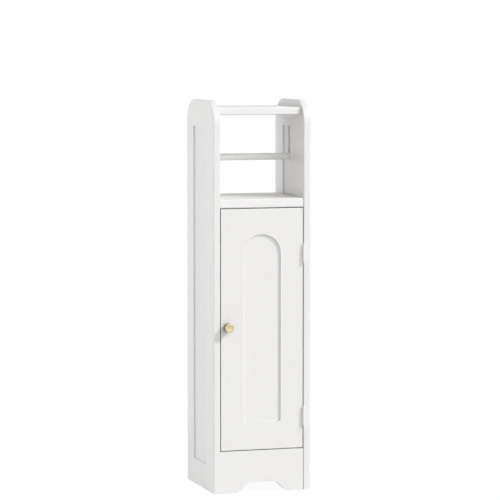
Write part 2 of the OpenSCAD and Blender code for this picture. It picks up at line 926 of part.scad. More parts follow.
module door_leaf(z) {
    plate_x = door_half - leaf_t - pin_x;
    color(white_paint) translate([pin_x, pin_y, z]) difference() {
        hinge_leaf(plate_x, door_knuckles, case_knuckles);
        leaf_screw_places(plate_x + leaf_t) mirror([0, 0, 1]) screw_form(hole_fit);
    }
}

module hinge_pin(z) {
    color(white_paint) translate([pin_x, pin_y, z - hinge_l / 2]) {
        cylinder(h = hinge_l + pin_head_h, d = pin_d);
        translate([0, 0, hinge_l]) cylinder(h = pin_head_h, d = pin_head_d);
    }
}

// Places of the screws in both case leaves, and in both door leaves
module case_screw_places() {
    for (z = [upper_hinge_z, lower_hinge_z])
        translate([pin_x, pin_y, z]) leaf_screw_places(inner_x - leaf_t - pin_x) children();
}

module door_leaf_screw_places() {
    for (z = [upper_hinge_z, lower_hinge_z])
        translate([pin_x, pin_y, z])
            leaf_screw_places(door_half - pin_x) mirror([0, 0, 1]) children();
}

module upper_case_leaf() {
    case_leaf(upper_hinge_z);
}

module lower_case_leaf() {
    case_leaf(lower_hinge_z);
}

module upper_hinge_pin() {
    hinge_pin(upper_hinge_z);
}

module lower_hinge_pin() {
    hinge_pin(lower_hinge_z);
}

module upper_door_leaf() {
    door_leaf(upper_hinge_z);
}

module lower_door_leaf() {
    door_leaf(lower_hinge_z);
}

module case_leaf_screws() {
    color(bright_steel) case_screw_places() wood_screw();
}

module door_leaf_screws() {
    color(bright_steel) door_leaf_screw_places() wood_screw();
}

// ---------------------------------------------------------------- catch

// Slots in the case for the two pole plates, or the plates themselves
module pole_plates(grow) {
    for (z = [catch_h / 3, 2 * catch_h / 3])
        translate([
            catch_x - pole_w / 2 - grow,
            catch_y,
            bay_floor_z - z - pole_t / 2 - grow
        ])
            cube([pole_w + 2 * grow, catch_d - 2 + grow, pole_t + 2 * grow]);
}

// The screws start at the underside of the ears and point up into the bay floor
module catch_screw_places() {
    for (dx = [-catch_screw_dx, catch_screw_dx])
        translate([catch_x + dx, catch_y + catch_d / 2, bay_floor_z - catch_ear_h]) children();
}

// Plastic case of the magnetic catch, an ear at each end
module catch_case() {
    color("white") difference() {
        union() {
            translate([catch_x - catch_body_w / 2, catch_y, bay_floor_z - catch_h])
                cube([catch_body_w, catch_d, catch_h]);
            translate([catch_x - catch_w / 2, catch_y + 1.5, bay_floor_z - catch_ear_h])
                cube([catch_w, catch_d - 3, catch_ear_h]);
        }
        pole_plates(pole_fit);
        catch_screw_places() screw_form(hole_fit);
    }
}

module catch_poles() {
    color(bright_steel) pole_plates(0);
}

module catch_screws() {
    color(bright_steel) catch_screw_places() wood_screw();
}

module strike_screw_place() {
    translate([
        catch_x,
        door_back_y + strike_t,
        bay_floor_z - catch_h / 2
    ])
        rotate([90, 0, 0]) children();
}

// Steel plate on the back of the door, opposite the catch
module strike_plate() {
    color(bright_steel) difference() {
        translate([
            catch_x - strike_w / 2,
            door_back_y,
            door_top_z - strike_drop - strike_h
        ])
            cube([strike_w, strike_t, strike_h]);
        strike_screw_place() screw_form(hole_fit);
    }
}

module strike_screw() {
    color(bright_steel) strike_screw_place() wood_screw();
}

// ---------------------------------------------------------------- rod

// Round rod with bevelled ends, resting at the bottom of the slots in the panels
module holder_rod() {
    color(white_paint) translate([0, rod_y, rod_z]) both_sides() rotate([0, 90, 0]) {
        cylinder(h = rod_l / 2 - rod_chamfer, d = rod_d);
        translate([0, 0, rod_l / 2 - rod_chamfer])
            cylinder(h = rod_chamfer, d1 = rod_d, d2 = rod_d - 2 * rod_chamfer);
    }
}

left_front_stile();
left_rear_stile();
left_top_rail();
left_bottom_rail();
left_panel();
right_front_stile();
right_rear_stile();
right_top_rail();
right_bottom_rail();
right_panel();
top_shelf();
bay_floor();
bottom_board();
base_rail();
back_panel();
inner_shelf();
shelf_pins();
cam_discs();
cam_bolts();
board_dowels();
door_slab();
knob();
knob_screw();
upper_case_leaf();
lower_case_leaf();
upper_hinge_pin();
lower_hinge_pin();
case_leaf_screws();
upper_door_leaf();
lower_door_leaf();
door_leaf_screws();
catch_case();
catch_poles();
catch_screws();
strike_plate();
strike_screw();
holder_rod();
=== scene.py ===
import logging
import math
from dataclasses import dataclass, field
from enum import Enum
from typing import Dict, List, Optional, Sequence, Tuple

import bmesh
import bpy
from mathutils import Matrix, Vector


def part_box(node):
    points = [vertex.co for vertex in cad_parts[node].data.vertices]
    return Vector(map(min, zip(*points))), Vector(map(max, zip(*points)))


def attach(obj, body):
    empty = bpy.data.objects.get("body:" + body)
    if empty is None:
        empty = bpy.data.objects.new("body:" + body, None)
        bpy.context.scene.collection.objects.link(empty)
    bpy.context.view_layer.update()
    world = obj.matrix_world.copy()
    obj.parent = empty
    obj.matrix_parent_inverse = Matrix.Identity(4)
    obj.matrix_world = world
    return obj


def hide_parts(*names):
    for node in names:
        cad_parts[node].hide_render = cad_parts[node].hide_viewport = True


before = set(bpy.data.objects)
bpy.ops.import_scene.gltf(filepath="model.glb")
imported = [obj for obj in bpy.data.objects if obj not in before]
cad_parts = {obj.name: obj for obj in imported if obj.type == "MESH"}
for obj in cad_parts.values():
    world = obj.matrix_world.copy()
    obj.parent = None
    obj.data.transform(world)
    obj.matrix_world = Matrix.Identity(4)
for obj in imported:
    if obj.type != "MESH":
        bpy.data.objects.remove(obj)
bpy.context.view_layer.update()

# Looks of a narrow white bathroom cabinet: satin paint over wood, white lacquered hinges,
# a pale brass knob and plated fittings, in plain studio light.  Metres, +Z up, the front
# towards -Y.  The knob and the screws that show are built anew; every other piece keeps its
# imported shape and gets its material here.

LOG = logging.getLogger("cabinet")
MM = 0.001
FLOAT = "NodeSocketFloat"
VECTOR = "NodeSocketVector"
Colour = Tuple[float, float, float]
Point = Tuple[float, float, float]
Socket = bpy.types.NodeSocket
Outline = Tuple[float, float]  # a point of a turned profile: radius and height
ScrewPlace = Tuple[Vector, Vector]  # the middle of the head, and the way the screw points
WHITE = (1.0, 1.0, 1.0, 1.0)
GRAIN_SQUEEZE = 34.0  # how much closer the grain lies across the fibres than along them
ON_AXIS = 1e-7  # a profile point nearer to the axis than this is one vertex


class Along(Enum):
    """The way that the wood's fibres run under the paint."""

    X = (1.0, GRAIN_SQUEEZE, GRAIN_SQUEEZE)
    Y = (GRAIN_SQUEEZE, 1.0, GRAIN_SQUEEZE)
    Z = (GRAIN_SQUEEZE, GRAIN_SQUEEZE, 1.0)


def opaque(colour: Colour) -> Tuple[float, float, float, float]:
    """The colour as the nodes take it, with full opacity."""
    return (*colour, 1.0)


# ------------------------------------------------------------------ node helpers


class Board:
    """A node tree with short ways to add nodes and join them."""

    COLUMN_WIDTH = 220

    def __init__(self, tree: bpy.types.NodeTree) -> None:
        """Keeps the tree and starts the running column of nodes.

        Args:
            tree: the node tree to fill.
        """
        self.tree = tree
        self.column = 0

    def add(self, kind: str, inputs: Optional[Dict[object, object]] = None, **settings) -> bpy.types.Node:
        """Adds one node.

        Args:
            kind: the node's type, with or without the leading "ShaderNode".
            inputs: values for its input sockets, by name or number.
            settings: attributes of the node itself.

        Returns:
            The new node.
        """
        whole = kind.startswith(("Node", "Geometry", "Function", "ShaderNode"))
        node = self.tree.nodes.new(kind if whole else "ShaderNode" + kind)
        node.location = (self.COLUMN_WIDTH * self.column, 0)
        self.column += 1
        for key, value in settings.items():
            setattr(node, key, value)
        for key, value in (inputs or {}).items():
            self.feed(value, node.inputs[key])
        return node

    def feed(self, value: object, socket: Socket) -> None:
        """Links an output to an input socket, or writes a plain value into it.

        Args:
            value: the output socket or the value.
            socket: the input socket.
        """
        if isinstance(value, Socket):
            self.tree.links.new(value, socket)
        else:
            socket.default_value = value

    def math(self, operation: str, a: object, b: object) -> Socket:
        """Adds a Math node and returns its output.

        Args:
            operation: the node's operation.
            a: first number or socket.
            b: second number or socket.

        Returns:
            The socket that holds the result.
        """
        return self.add("Math", {0: a, 1: b}, operation=operation).outputs[0]

    def spread(self, value: object, low: float, high: float, to_low: float, to_high: float) -> Socket:
        """Maps a range of values onto another and holds it there.

        Args:
            value: the socket to map.
            low: the value that becomes to_low.
            high: the value that becomes to_high.
            to_low: result at the low end.
            to_high: result at the high end.

        Returns:
            The mapped socket.
        """
        inputs = {"Value": value, "From Min": low, "From Max": high, "To Min": to_low, "To Max": to_high}
        return self.add("MapRange", inputs, clamp=True).outputs[0]

    def mix_colour(self, factor: object, a: object, b: object, blend: str = "MIX") -> Socket:
        """Mixes two colours and returns the result's socket.

        Args:
            factor: share of the second colour.
            a: first colour or socket.
            b: second colour or socket.
            blend: the blend mode.

        Returns:
            The mixed colour's socket.
        """
        node = self.add("Mix", {0: factor, 6: a, 7: b}, data_type="RGBA", blend_type=blend)
        return node.outputs[2]

    def seen(self) -> Socket:
        """Tells what is looked at from what only gives light.

        Returns:
            The socket that is 1 for what the camera, gloss or glass sees, and 0 for light on the object.
        """
        paths = self.add("LightPath").outputs
        mirrored = self.math("MAXIMUM", paths["Is Glossy Ray"], paths["Is Transmission Ray"])
        return self.math("MAXIMUM", paths["Is Camera Ray"], mirrored)


InputSpec = Tuple[str, str, float]
OutputSpec = Tuple[str, str]
GroupParts = Tuple[bpy.types.NodeTree, Board, bpy.types.Node, bpy.types.Node]


def new_group(name: str, inputs: Sequence[InputSpec], outputs: Sequence[OutputSpec]) -> GroupParts:
    """Starts a shader node group with named sockets.

    Args:
        name: the group's name.
        inputs: (name, socket type, default) of each input; vectors take no default.
        outputs: (name, socket type) of each output.

    Returns:
        The group, a board on it, its input node and its output node.
    """
    tree = bpy.data.node_groups.new(name, "ShaderNodeTree")
    for label, kind, default in inputs:
        socket = tree.interface.new_socket(name=label, in_out="INPUT", socket_type=kind)
        if kind == FLOAT:
            socket.default_value = default
    for label, kind in outputs:
        tree.interface.new_socket(name=label, in_out="OUTPUT", socket_type=kind)
    board = Board(tree)
    return tree, board, board.add("NodeGroupInput"), board.add("NodeGroupOutput")


def grain_group() -> bpy.types.NodeTree:
    """Wood fibres and brush marks as they show through satin paint.

    Returns:
        The group, with outputs Tone (about 0.5) and Height.
    """
    tree, board, start, end = new_group(
        "painted_grain",
        (("Coordinates", VECTOR, 0.0), ("Fibre", FLOAT, 9.0), ("Brush", FLOAT, 60.0)),
        (("Tone", FLOAT), ("Height", FLOAT)),
    )
    place = start.outputs["Coordinates"]
    sway = board.add("TexNoise", {"Vector": place, "Scale": 0.7, "Detail": 1.0}).outputs["Color"]
    bent = board.add("VectorMath", {0: sway, 1: (0.16, 0.16, 0.16)}, operation="MULTIPLY").outputs[0]
    placed = board.add("VectorMath", {0: place, 1: bent}, operation="ADD").outputs[0]
    fibres = {"Vector": placed, "Scale": start.outputs["Fibre"], "Detail": 5.0, "Roughness": 0.62}
    fibre = board.add("TexNoise", fibres).outputs[0]
    pores = board.spread(fibre, 0.50, 0.72, 0.0, 1.0)
    strokes = {"Vector": place, "Scale": start.outputs["Brush"], "Detail": 2.0}
    brush = board.add("TexNoise", strokes).outputs[0]
    patch = board.add("TexNoise", {"Vector": place, "Scale": 0.5, "Detail": 2.0}).outputs[0]
    shown = board.math("MULTIPLY", pores, board.spread(patch, 0.42, 0.62, 0.15, 1.0))
    ground = board.math("ADD", 0.5, board.math("MULTIPLY", patch, 0.12))
    tone = board.math("SUBTRACT", ground, board.math("MULTIPLY", shown, 0.5))
    height = board.math("SUBTRACT", board.math("MULTIPLY", brush, 0.22), shown)
    board.feed(tone, end.inputs["Tone"])
    board.feed(height, end.inputs["Height"])
    return tree


def edge_group() -> bpy.types.NodeTree:
    """Softens sharp edges and finds them, for wear and a lit arris.

    Returns:
        The group, with outputs Normal (the softened one) and Mask (1 on a rubbed edge).
    """
    tree, board, start, end = new_group(
        "soft_edge",
        (("Coordinates", VECTOR, 0.0), ("Radius", FLOAT, 0.001), ("Wear", FLOAT, 0.5)),
        (("Normal", VECTOR), ("Mask", FLOAT)),
    )
    soft = board.add("Bevel", {"Radius": start.outputs["Radius"]}, samples=6).outputs[0]
    flat = board.add("NewGeometry").outputs["True Normal"]
    agree = board.add("VectorMath", {0: soft, 1: flat}, operation="DOT_PRODUCT").outputs["Value"]
    edge = board.spread(agree, 0.78, 0.995, 1.0, 0.0)
    place = start.outputs["Coordinates"]
    patch_mask = board.add("TexNoise", {"Vector": place, "Scale": 130.0, "Detail": 4.0}).outputs[0]
    mask = board.math("MULTIPLY", edge, board.spread(patch_mask, 0.45, 0.62, 0.0, 1.0))
    board.feed(soft, end.inputs["Normal"])
    board.feed(board.math("MULTIPLY", mask, start.outputs["Wear"]), end.inputs["Mask"])
    return tree


def dust_group() -> bpy.types.NodeTree:
    """Thin dust on faces that look up; where a material gives it a large share, as the door does, it is also
    painted shade on those faces.

    Returns:
        The group, with output Mask.
    """
    tree, board, start, end = new_group(
        "settled_dust_and_shade",
        (("Coordinates", VECTOR, 0.0), ("Amount", FLOAT, 0.5)),
        (("Mask", FLOAT),),
    )
    facing = board.add("SeparateXYZ", {0: board.add("NewGeometry").outputs["Normal"]}).outputs["Z"]
    flat = board.spread(facing, 0.75, 1.0, 0.0, 1.0)
    place = start.outputs["Coordinates"]
    cloud = board.add("TexNoise", {"Vector": place, "Scale": 22.0, "Detail": 5.0}).outputs[0]
    mask = board.math("MULTIPLY", flat, board.spread(cloud, 0.35, 0.7, 0.5, 1.0))
    board.feed(board.math("MULTIPLY", mask, start.outputs["Amount"]), end.inputs["Mask"])
    return tree


GROUPS: Dict[str, bpy.types.NodeTree] = {}


def shared(name: str) -> bpy.types.NodeTree:
    """Returns a shared node group, built the first time it is asked for.

    Args:
        name: grain, edge or dust.

    Returns:
        The node group.
    """
    makers = {"grain": grain_group, "edge": edge_group, "dust": dust_group}
    if name not in GROUPS:
        GROUPS[name] = makers[name]()
    return GROUPS[name]


# ------------------------------------------------------------------ finishes


@dataclass(frozen=True)
class Finish:
    """What every finish has: a name, the record's slot and a colour."""

    name: str
    slot: str
    colour: Colour

    def start(self) -> Tuple[bpy.types.Material, Board, bpy.types.Node, Socket]:
        """Makes an empty material with a Principled shader.

        Returns:
            The material, a board on its tree, the shader and the object coordinates.
        """
        material = bpy.data.materials.new(self.name)
        material.use_nodes = True
        material.diffuse_color = opaque(self.colour)
        material.node_tree.nodes.clear()
        board = Board(material.node_tree)
        place = board.add("TexCoord").outputs["Object"]
        shader = board.add("BsdfPrincipled", {"Base Color": opaque(self.colour)})
        board.add("OutputMaterial", {"Surface": shader.outputs[0]})
        return material, board, shader, place

    def group(self, board: Board, name: str, inputs: Dict[object, object]) -> bpy.types.Node:
        """Places a shared group in a material.

        Args:
            board: the material's board.
            name: the group's short name.
            inputs: values for the group's sockets.

        Returns:
            The group node.
        """
        return board.add("Group", inputs, node_tree=shared(name))


@dataclass(frozen=True)
class SatinPaint(Finish):
    """Sprayed satin paint over wood, its fibres just showing through.

    A dark band is painted where a board meets the right side (seam), as painted shade in the joint, and the
    door's flank is painted dark while it is shut (flank), as painted shade in the gap. Both are given by the
    place across the cabinet where they are.
    """

    along: Along = Along.Z
    roughness: float = 0.42
    relief: float = 0.10
    arris: float = 0.0
    wear: float = 0.35
    tone: float = 0.035
    worn_share: float = 0.22
    worn_roughness: float = 0.15
    worn_colour: Colour = (0.70, 0.66, 0.58)
    dust: float = 0.9
    dust_and_shade_share: float = 0.10
    dust_roughness: float = 0.5
    dust_and_shade_colour: Colour = (0.50, 0.485, 0.46)
    speckle: float = 0.18
    seam: Optional[float] = None
    seam_width: float = 0.9 * MM
    seam_fade: float = 0.5 * MM
    seam_shade_colour: Colour = (0.20, 0.195, 0.19)
    flank: Optional[float] = None
    flank_depth: float = 0.4 * MM
    flank_fade: float = 0.6 * MM
    gap_reach: float = 3.0 * MM
    gap_shade_colour: Colour = (0.11, 0.106, 0.10)

    def paint_joint_shade(self, board: Board, place: Socket, paint: Socket) -> Socket:
        """Adds painted shade: a dark band in a seam's joint, and a dark flank in the shut gap.

        Args:
            board: the material's board.
            place: the object coordinates.
            paint: the paint's colour so far.

        Returns:
            The colour with both.
        """
        if self.seam is None and self.flank is None:
            return paint
        across = board.add("SeparateXYZ", {0: place}).outputs["X"]
        # Painted shade: a dark band at the board's end where it meets the right side, standing for the shade
        # in the joint.
        if self.seam is not None:
            start = self.seam - self.seam_width
            patch_mask = board.spread(across, start, start + self.seam_fade, 0.0, 1.0)
            paint = board.mix_colour(patch_mask, paint, opaque(self.seam_shade_colour))
        # Painted shade: the door's flank goes dark where ambient occlusion finds the stile close, that is
        # while the door is shut.
        if self.flank is not None:
            end = self.flank + self.flank_depth
            side = board.spread(across, end, end + self.flank_fade, 1.0, 0.0)
            air = board.add("AmbientOcclusion", {"Distance": self.gap_reach}, samples=8).outputs["AO"]
            shut_gap_shade = board.math("MULTIPLY", side, board.spread(air, 0.35, 0.85, 1.0, 0.0))
            paint = board.mix_colour(shut_gap_shade, paint, opaque(self.gap_shade_colour))
        return paint

    def build(self) -> bpy.types.Material:
        """Builds the material.

        Returns:
            The material.
        """
        material, board, shader, place = self.start()
        along = board.add("Mapping", {"Vector": place, "Scale": self.along.value}).outputs[0]
        grain = self.group(board, "grain", {"Coordinates": along})
        dust_and_shade_mask = self.group(board, "dust", {"Coordinates": place, "Amount": self.dust}).outputs["Mask"]
        shade = board.spread(grain.outputs["Tone"], 0.2, 0.6, 1.0 - self.tone, 1.0)
        paint = board.mix_colour(1.0, opaque(self.colour), shade, "MULTIPLY")
        # The dust colour on faces that look up; with the door's large share it is painted shade on its upward
        # ledges, elsewhere thin dust.
        dust_and_shade_veil = board.math("MULTIPLY", dust_and_shade_mask, self.dust_and_shade_share)
        paint = board.mix_colour(dust_and_shade_veil, paint, opaque(self.dust_and_shade_colour))
        rough = board.math("ADD", self.roughness, board.math("MULTIPLY", dust_and_shade_mask, self.dust_roughness))
        speckle = board.add("TexNoise", {"Vector": place, "Scale": 900.0, "Detail": 1.0}).outputs[0]
        height = board.math("ADD", grain.outputs["Height"], board.math("MULTIPLY", speckle, self.speckle))
        bump = board.add("Bump", {"Strength": self.relief, "Distance": 0.0004, "Height": height})
        if self.arris > 0:
            edge = self.group(board, "edge", {"Coordinates": place, "Radius": self.arris, "Wear": self.wear})
            board.feed(edge.outputs["Normal"], bump.inputs["Normal"])
            marked = edge.outputs["Mask"]
            rubbed = board.math("MULTIPLY", marked, self.worn_share)
            paint = board.mix_colour(rubbed, paint, opaque(self.worn_colour))
            rough = board.math("ADD", rough, board.math("MULTIPLY", marked, self.worn_roughness))
        board.feed(self.paint_joint_shade(board, place, paint), shader.inputs["Base Color"])
        board.feed(rough, shader.inputs["Roughness"])
        board.feed(bump.outputs[0], shader.inputs["Normal"])
        shader.inputs["Specular IOR Level"].default_value = 0.45
        board.feed(board.spread(dust_and_shade_mask, 0.0, 0.8, 0.12, 0.0), shader.inputs["Coat Weight"])
        shader.inputs["Coat Roughness"].default_value = 0.3
        return material


@dataclass(frozen=True)
class Lacquer(Finish):
    """White lacquer on pressed steel, rubbed at its edges."""

    roughness: float = 0.34
    arris: float = 0.0003
    bare: Colour = (0.60, 0.60, 0.61)

    def build(self) -> bpy.types.Material:
        """Builds the material.

        Returns:
            The material.
        """
        material, board, shader, place = self.start()
        edge = self.group(board, "edge", {"Coordinates": place, "Radius": self.arris, "Wear": 0.8})
        peel = board.add("TexNoise", {"Vector": place, "Scale": 1400.0, "Detail": 1.0}).outputs[0]
        soft = edge.outputs["Normal"]
        bump = board.add("Bump", {"Strength": 0.08, "Distance": 0.0002, "Height": peel, "Normal": soft})
        rubbed = board.spread(edge.outputs["Mask"], 0.45, 0.8, 0.0, 0.5)
        coat = board.mix_colour(rubbed, opaque(self.colour), opaque(self.bare))
        cloud = board.add("TexNoise", {"Vector": place, "Scale": 90.0, "Detail": 3.0}).outputs[0]
        rough = board.spread(cloud, 0.3, 0.7, self.roughness - 0.06, self.roughness + 0.08)
        board.feed(coat, shader.inputs["Base Color"])
        board.feed(rough, shader.inputs["Roughness"])
        board.feed(bump.outputs[0], shader.inputs["Normal"])
        return material


@dataclass(frozen=True)
class TurnedMetal(Finish):
    """Bright metal with fine tool marks and a little tarnish; its flank is painted darker than its face, as
    painted shade.
    """

    roughness: float = 0.3
    arris: float = 0.0004
    tarnish: Colour = (0.55, 0.43, 0.22)
    tarnish_share: float = 0.3
    marks: float = 2600.0
    flank: Optional[Colour] = None
    flank_from: float = 0.0

    def build(self) -> bpy.types.Material:
        """Builds the material.

        Returns:
            The material.
        """
        material, board, shader, place = self.start()
        edge = self.group(board, "edge", {"Coordinates": place, "Radius": self.arris, "Wear": 1.0})
        mottle = {"Vector": place, "Scale": 240.0, "Detail": 5.0, "Roughness": 0.6}
        cloud = board.add("TexNoise", mottle).outputs[0]
        dull = board.spread(cloud, 0.45, 0.75, 0.0, self.tarnish_share)
        marked = board.mix_colour(dull, opaque(self.colour), opaque(self.tarnish))
        # Painted shade: the flank behind the knob's face takes a dark colour.
        if self.flank is not None:
            depth = board.add("SeparateXYZ", {0: place}).outputs["Y"]
            behind = board.spread(depth, self.flank_from, self.flank_from + 0.5 * MM, 0.0, 1.0)
            marked = board.mix_colour(behind, marked, opaque(self.flank))
        fine = board.add("TexNoise", {"Vector": place, "Scale": self.marks, "Detail": 2.0}).outputs[0]
        soft = edge.outputs["Normal"]
        bump = board.add("Bump", {"Strength": 0.05, "Distance": 0.0001, "Height": fine, "Normal": soft})
        rough = board.spread(cloud, 0.3, 0.8, self.roughness - 0.05, self.roughness + 0.15)
        board.feed(marked, shader.inputs["Base Color"])
        board.feed(rough, shader.inputs["Roughness"])
        board.feed(bump.outputs[0], shader.inputs["Normal"])
        shader.inputs["Metallic"].default_value = 1.0
        return material


@dataclass(frozen=True)
class BareBeech(Finish):
    """Plain beech with short dark flecks."""

    fleck_share: float = 0.62

    def build(self) -> bpy.types.Material:
        """Builds the material.

        Returns:
            The material.
        """
        material, board, shader, place = self.start()
        along = board.add("Mapping", {"Vector": place, "Scale": Along.X.value}).outputs[0]
        grain = self.group(board, "grain", {"Coordinates": along, "Fibre": 30.0})
        dark = tuple(self.fleck_share * part for part in self.colour)
        fleck = board.spread(grain.outputs["Tone"], 0.15, 0.55, 0.8, 0.0)
        wood = board.mix_colour(fleck, opaque(self.colour), opaque(dark))
        bump = board.add("Bump", {"Strength": 0.3, "Distance": 0.0002, "Height": grain.outputs["Height"]})
        board.feed(wood, shader.inputs["Base Color"])
        board.feed(bump.outputs[0], shader.inputs["Normal"])
        board.feed(board.spread(grain.outputs["Tone"], 0.2, 0.6, 0.75, 0.6), shader.inputs["Roughness"])
        return material


@dataclass(frozen=True)
class MouldedPlastic(Finish):
    """Matt moulded plastic with a fine spark texture."""

    def build(self) -> bpy.types.Material:
        """Builds the material.

        Returns:
            The material.
        """
        material, board, shader, place = self.start()
        edge = self.group(board, "edge", {"Coordinates": place, "Radius": 0.0004, "Wear": 0.2})
        spark = board.add("TexNoise", {"Vector": place, "Scale": 3200.0, "Detail": 2.0}).outputs[0]
        soft = edge.outputs["Normal"]
        bump = board.add("Bump", {"Strength": 0.15, "Distance": 0.0001, "Height": spark, "Normal": soft})
        cloud = board.add("TexNoise", {"Vector": place, "Scale": 70.0, "Detail": 2.0}).outputs[0]
        tint = board.spread(cloud, 0.3, 0.7, 0.95, 1.0)
        board.feed(board.mix_colour(1.0, opaque(self.colour), tint, "MULTIPLY"), shader.inputs["Base Color"])
        board.feed(board.spread(cloud, 0.3, 0.7, 0.5, 0.6), shader.inputs["Roughness"])
        board.feed(bump.outputs[0], shader.inputs["Normal"])
        return material


PAINT: Colour = (0.84, 0.832, 0.824)
# A lighter copy of the white paint: painted light, so the front boards and the rod read brighter than their
# light makes them.
BRIGHTENED_PAINT: Colour = (0.872, 0.864, 0.856)
PANEL_PAINT: Colour = (0.825, 0.817, 0.812)
BOARD_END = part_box("base_rail")[1].x
DOOR_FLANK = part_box("door_slab")[0].x
KNOB_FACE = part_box("knob")[0].y
UPRIGHT = SatinPaint("satin_upright", "painted_frame", PAINT, Along.Z)
CROSSWISE = SatinPaint("satin_crosswise", "painted_frame", PAINT, Along.Y)
# seam paints a dark band at the boards' right ends: painted shade of the joint.
FRONT_RAIL = SatinPaint("satin_front_rail", "painted_frame", PAINT, Along.X, arris=0.0008, seam=BOARD_END)
FRONT_BOARD = SatinPaint(
    "satin_front_board", "painted_frame", BRIGHTENED_PAINT, Along.X, arris=0.0008, seam=BOARD_END)
# The door's large dust share paints shade on its faces that look up, and flank paints shade on its flank in
# the shut gap.
DOOR_FACE = SatinPaint(
    "satin_door", "painted_frame", PAINT, Along.Z, arris=0.0005, wear=0.5, dust_and_shade_share=0.6, flank=DOOR_FLANK)
PANEL = SatinPaint("satin_panel", "painted_panel", PANEL_PAINT, Along.Z, relief=0.05)
SHELF_BOARD = SatinPaint("satin_shelf", "painted_panel", PANEL_PAINT, Along.X, relief=0.05, arris=0.0006)
# The rod takes the lighter copy of the paint: painted light on a rod that sits in the shelf's shade.
ROD_PAINT = SatinPaint("satin_rod", "painted_rod", BRIGHTENED_PAINT, Along.X, relief=0.06, arris=0.0006, dust=0.4)
HINGE_WHITE = Lacquer("white_lacquer", "hinge_steel", (0.89, 0.886, 0.88))
# The knob's dark flank colour is painted shade on its side.
PALE_BRASS = TurnedMetal(
    "pale_brass", "knob_brass", (0.575, 0.503, 0.312), tarnish=(0.42, 0.35, 0.20), flank=(0.22, 0.195, 0.10),
    flank_from=KNOB_FACE + 1.0 * MM)
ZINC = TurnedMetal(
    "zinc_plate", "fitting_steel", (0.70, 0.71, 0.73), roughness=0.32, arris=0.0002,
    tarnish=(0.45, 0.45, 0.46), tarnish_share=0.25)
BEECH = BareBeech("bare_beech", "dowel_beech", (0.60, 0.42, 0.24))
PLASTIC = MouldedPlastic("catch_plastic", "catch_plastic", (0.80, 0.80, 0.79))
BUILT: Dict[str, bpy.types.Material] = {}


def material_of(finish: Finish) -> bpy.types.Material:
    """Returns a finish's material, built once.

    Args:
        finish: the finish.

    Returns:
        Its material.
    """
    if finish.name not in BUILT:
        BUILT[finish.name] = finish.build()
    return BUILT[finish.name]


def dress(node: str, finish: Finish) -> None:
    """Gives a carried-over node its material.

    Args:
        node: the node's name.
        finish: its finish.
    """
    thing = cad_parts[node]
    thing.data.materials.clear()
    thing.data.materials.append(material_of(finish))
    LOG.info("dressed %s in %s", node, finish.name)


# ------------------------------------------------------------------ mesh helpers


def lathe(name: str, profile: Sequence[Outline], segments: int, to_world: Matrix) -> bpy.types.Object:
    """Turns a profile about Z into a closed mesh.

    Args:
        name: the new object's name.
        profile: (radius, height) points; the first and last lie on the axis.
        segments: how many steps the turn has.
        to_world: where the turned shape goes.

    Returns:
        The object, its place in its mesh.
    """
    mesh = bpy.data.meshes.new(name)
    shape = bmesh.new()
    rings: List[List[bmesh.types.BMVert]] = []
    for radius, height in profile:
        if radius < ON_AXIS:
            rings.append([shape.verts.new((0.0, 0.0, height))])
            continue
        turn = [2 * math.pi * step / segments for step in range(segments)]
        rings.append([shape.verts.new((radius * math.cos(a), radius * math.sin(a), height)) for a in turn])
    for lower, upper in zip(rings, rings[1:]):
        for step in range(segments):
            after = (step + 1) % segments
            corners = [lower[step % len(lower)], lower[after % len(lower)]]
            corners += [upper[after % len(upper)], upper[step % len(upper)]]
            unique = list(dict.fromkeys(corners))
            if len(unique) > 2:
                shape.faces.new(unique)
    bmesh.ops.recalc_face_normals(shape, faces=shape.faces)
    bmesh.ops.transform(shape, matrix=to_world, verts=shape.verts)
    for face in shape.faces:
        face.smooth = True
    shape.to_mesh(mesh)
    shape.free()
    thing = bpy.data.objects.new(name, mesh)
    bpy.context.scene.collection.objects.link(thing)
    return thing


def arc(centre: Outline, radius: float, start: float, end: float, steps: int) -> List[Outline]:
    """Points on an arc, for a profile.

    Args:
        centre: the arc's centre.
        radius: its radius.
        start: first angle in degrees.
        end: last angle in degrees.
        steps: number of steps.

    Returns:
        The points, both ends included.
    """
    angles = [math.radians(start + (end - start) * step / steps) for step in range(steps + 1)]
    return [(centre[0] + radius * math.cos(a), centre[1] + radius * math.sin(a)) for a in angles]


# ------------------------------------------------------------------ pieces


